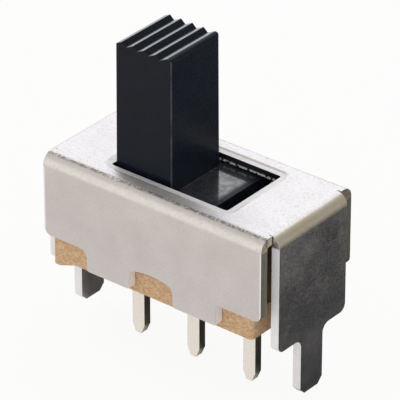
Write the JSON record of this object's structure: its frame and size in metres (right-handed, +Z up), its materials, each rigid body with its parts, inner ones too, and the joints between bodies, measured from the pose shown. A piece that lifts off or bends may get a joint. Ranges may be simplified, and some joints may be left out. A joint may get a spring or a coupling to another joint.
{
  "type": "slide switch",
  "caption": "Miniature vertical slide switch with a folded steel case, a ridged black slider, flat terminals and board mounting legs.",
  "frame": {"origin": "centre of the middle terminal on the board's surface, level with the end flaps' shoulders", "axes": "+X along the slider's travel and the row of terminals, +Y across the switch, +Z up out of the board along the knob"},
  "size_m": [0.0122, 0.006, 0.0147],
  "materials": {
    "plated_steel": "bright nickel plated sheet steel",
    "phenolic": "brown moulded phenolic",
    "tinned_brass": "tin plated brass strip",
    "black_plastic": "black moulded acetal, semi gloss",
    "spring_bronze": "spring bronze strip"
  },
  "bodies": {
    "housing": {"case": "plated_steel", "base": "phenolic", "terminal_left": "tinned_brass", "terminal_common": "tinned_brass", "terminal_right": "tinned_brass"},
    "slider": {"slider": "black_plastic", "contact_clip": "spring_bronze"}
  },
  "joints": [
    {"name": "slider_slide", "type": "slide", "parent": "housing", "child": "slider", "axis": [1, 0, 0], "range_m": [0, 0.003]}
  ]
}
